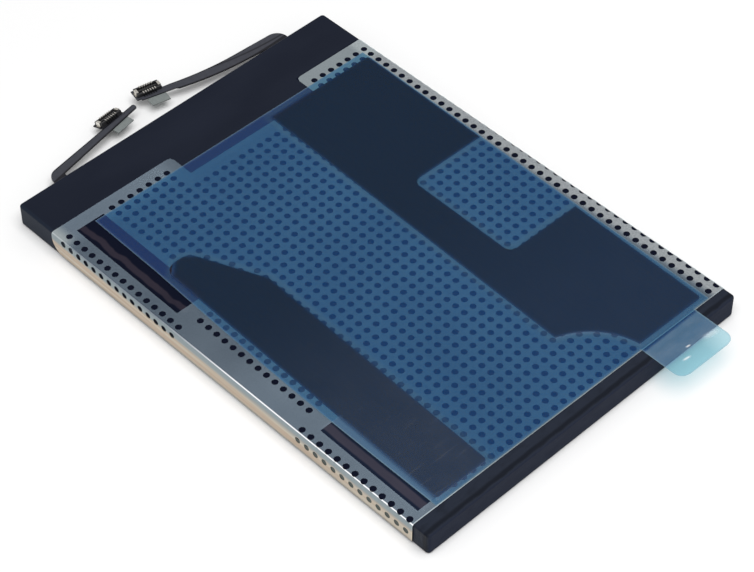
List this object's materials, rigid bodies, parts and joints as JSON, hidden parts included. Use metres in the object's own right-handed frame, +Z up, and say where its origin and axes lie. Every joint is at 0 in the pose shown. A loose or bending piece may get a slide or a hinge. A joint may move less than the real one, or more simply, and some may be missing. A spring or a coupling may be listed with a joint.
{
  "type": "phone battery",
  "caption": "Flat black lithium-polymer phone battery in a clear punched wrap, with glue pads under a blue release liner with a pull tab, and flex tails that end in small connectors.",
  "frame": {"origin": "near the middle of the underside of the pouch, on the surface it lies on", "axes": "+Z up out of the glue side, +Y towards the end with the flex tails, +X right seen from above"},
  "size_m": [0.0635, 0.1028, 0.0042],
  "materials": {
    "pouch": "satin",
    "wrap_tape": "satin",
    "film": "clear, slightly hazed",
    "tan_strip": "matt",
    "glue": "matt",
    "liner": "translucent",
    "flex": "satin",
    "stiffener": "matt",
    "housing": "moulded",
    "contact": "plated",
    "board": "solder mask",
    "insulator": "matt",
    "chip": "moulded",
    "passive": "matt",
    "aluminium_lead": "rolled",
    "nickel_lead": "rolled"
  },
  "bodies": {
    "root": {"pouch_cell": "pouch", "head_wrap": "wrap_tape", "perforated_film": "film", "side_strip": "tan_strip", "adhesive_pad_left": "glue", "adhesive_pad_right": "glue", "release_liner": "liner", "flex_left": "flex", "flex_right": "flex", "stiffener_left": "stiffener", "stiffener_right": "stiffener", "connector_left": "housing", "connector_right": "housing", "signal_contacts_left": "contact", "signal_contacts_right": "contact", "power_contacts_left": "contact", "power_contacts_right": "contact", "protection_board": "board", "insulating_pad": "insulator", "switch_chips": "chip", "monitor_chip": "chip", "board_passives": "passive", "positive_lead": "aluminium_lead", "negative_lead": "nickel_lead"}
  },
  "joints": []
}
